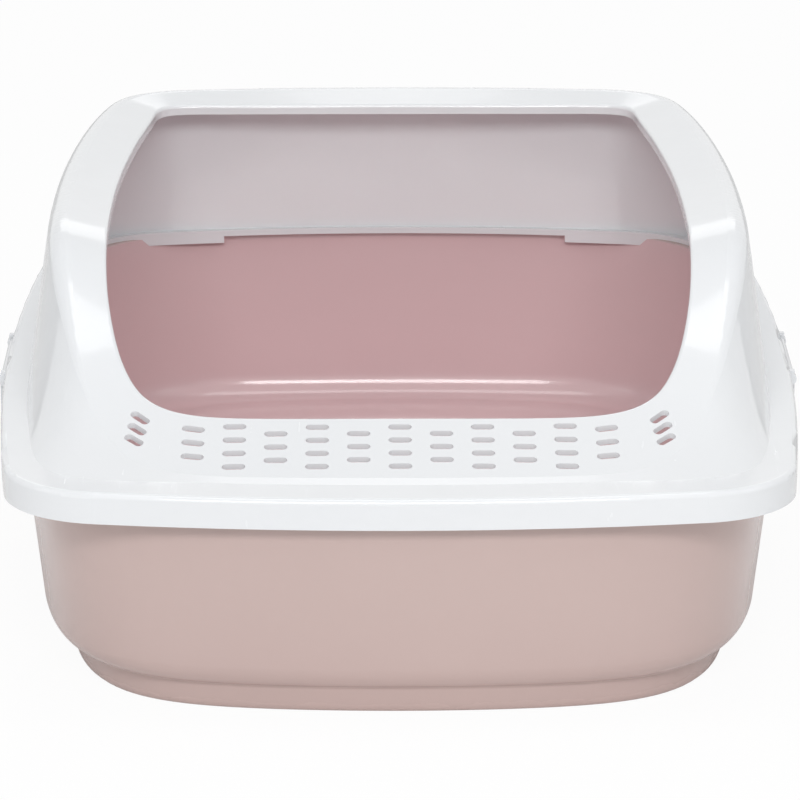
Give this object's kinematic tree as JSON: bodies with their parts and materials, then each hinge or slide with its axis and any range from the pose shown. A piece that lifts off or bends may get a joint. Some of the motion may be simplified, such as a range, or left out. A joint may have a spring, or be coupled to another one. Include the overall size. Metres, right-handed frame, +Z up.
{
  "type": "litter tray",
  "caption": "Open-top pet litter tray with a deep tub, a lift-off rim with a raised litter shield, a slotted entry apron and side clips.",
  "frame": {"origin": "bottom centre, at floor level under the tray's foot", "axes": "+Z up, the low entry apron faces -Y, the high shield is at +Y"},
  "size_m": [0.3624, 0.48, 0.1757],
  "materials": {
    "white_plastic": "gloss",
    "pink_plastic": "gloss"
  },
  "bodies": {
    "tray": {"tray": "pink_plastic"},
    "rim": {"rim": "white_plastic"},
    "clip_left": {"clip_left": "white_plastic"},
    "clip_right": {"clip_right": "white_plastic"}
  },
  "joints": [
    {"name": "rim_lift", "type": "slide", "parent": "tray", "child": "rim", "axis": [0, 0, 1], "range_m": [0, 0.02]},
    {"name": "clip_left_swing", "type": "hinge", "parent": "rim", "child": "clip_left", "pos_m": [-0.1782, 0, 0.095], "axis": [0, 1, 0], "range_deg": [0, 110]},
    {"name": "clip_right_swing", "type": "hinge", "parent": "rim", "child": "clip_right", "pos_m": [0.1782, 0, 0.095], "axis": [0, -1, 0], "range_deg": [0, 110]}
  ],
  "couplings": [
    {"joint": "clip_left_swing", "follows": "rim_lift", "rad_per_m": 95},
    {"joint": "clip_right_swing", "follows": "rim_lift", "rad_per_m": 95}
  ]
}
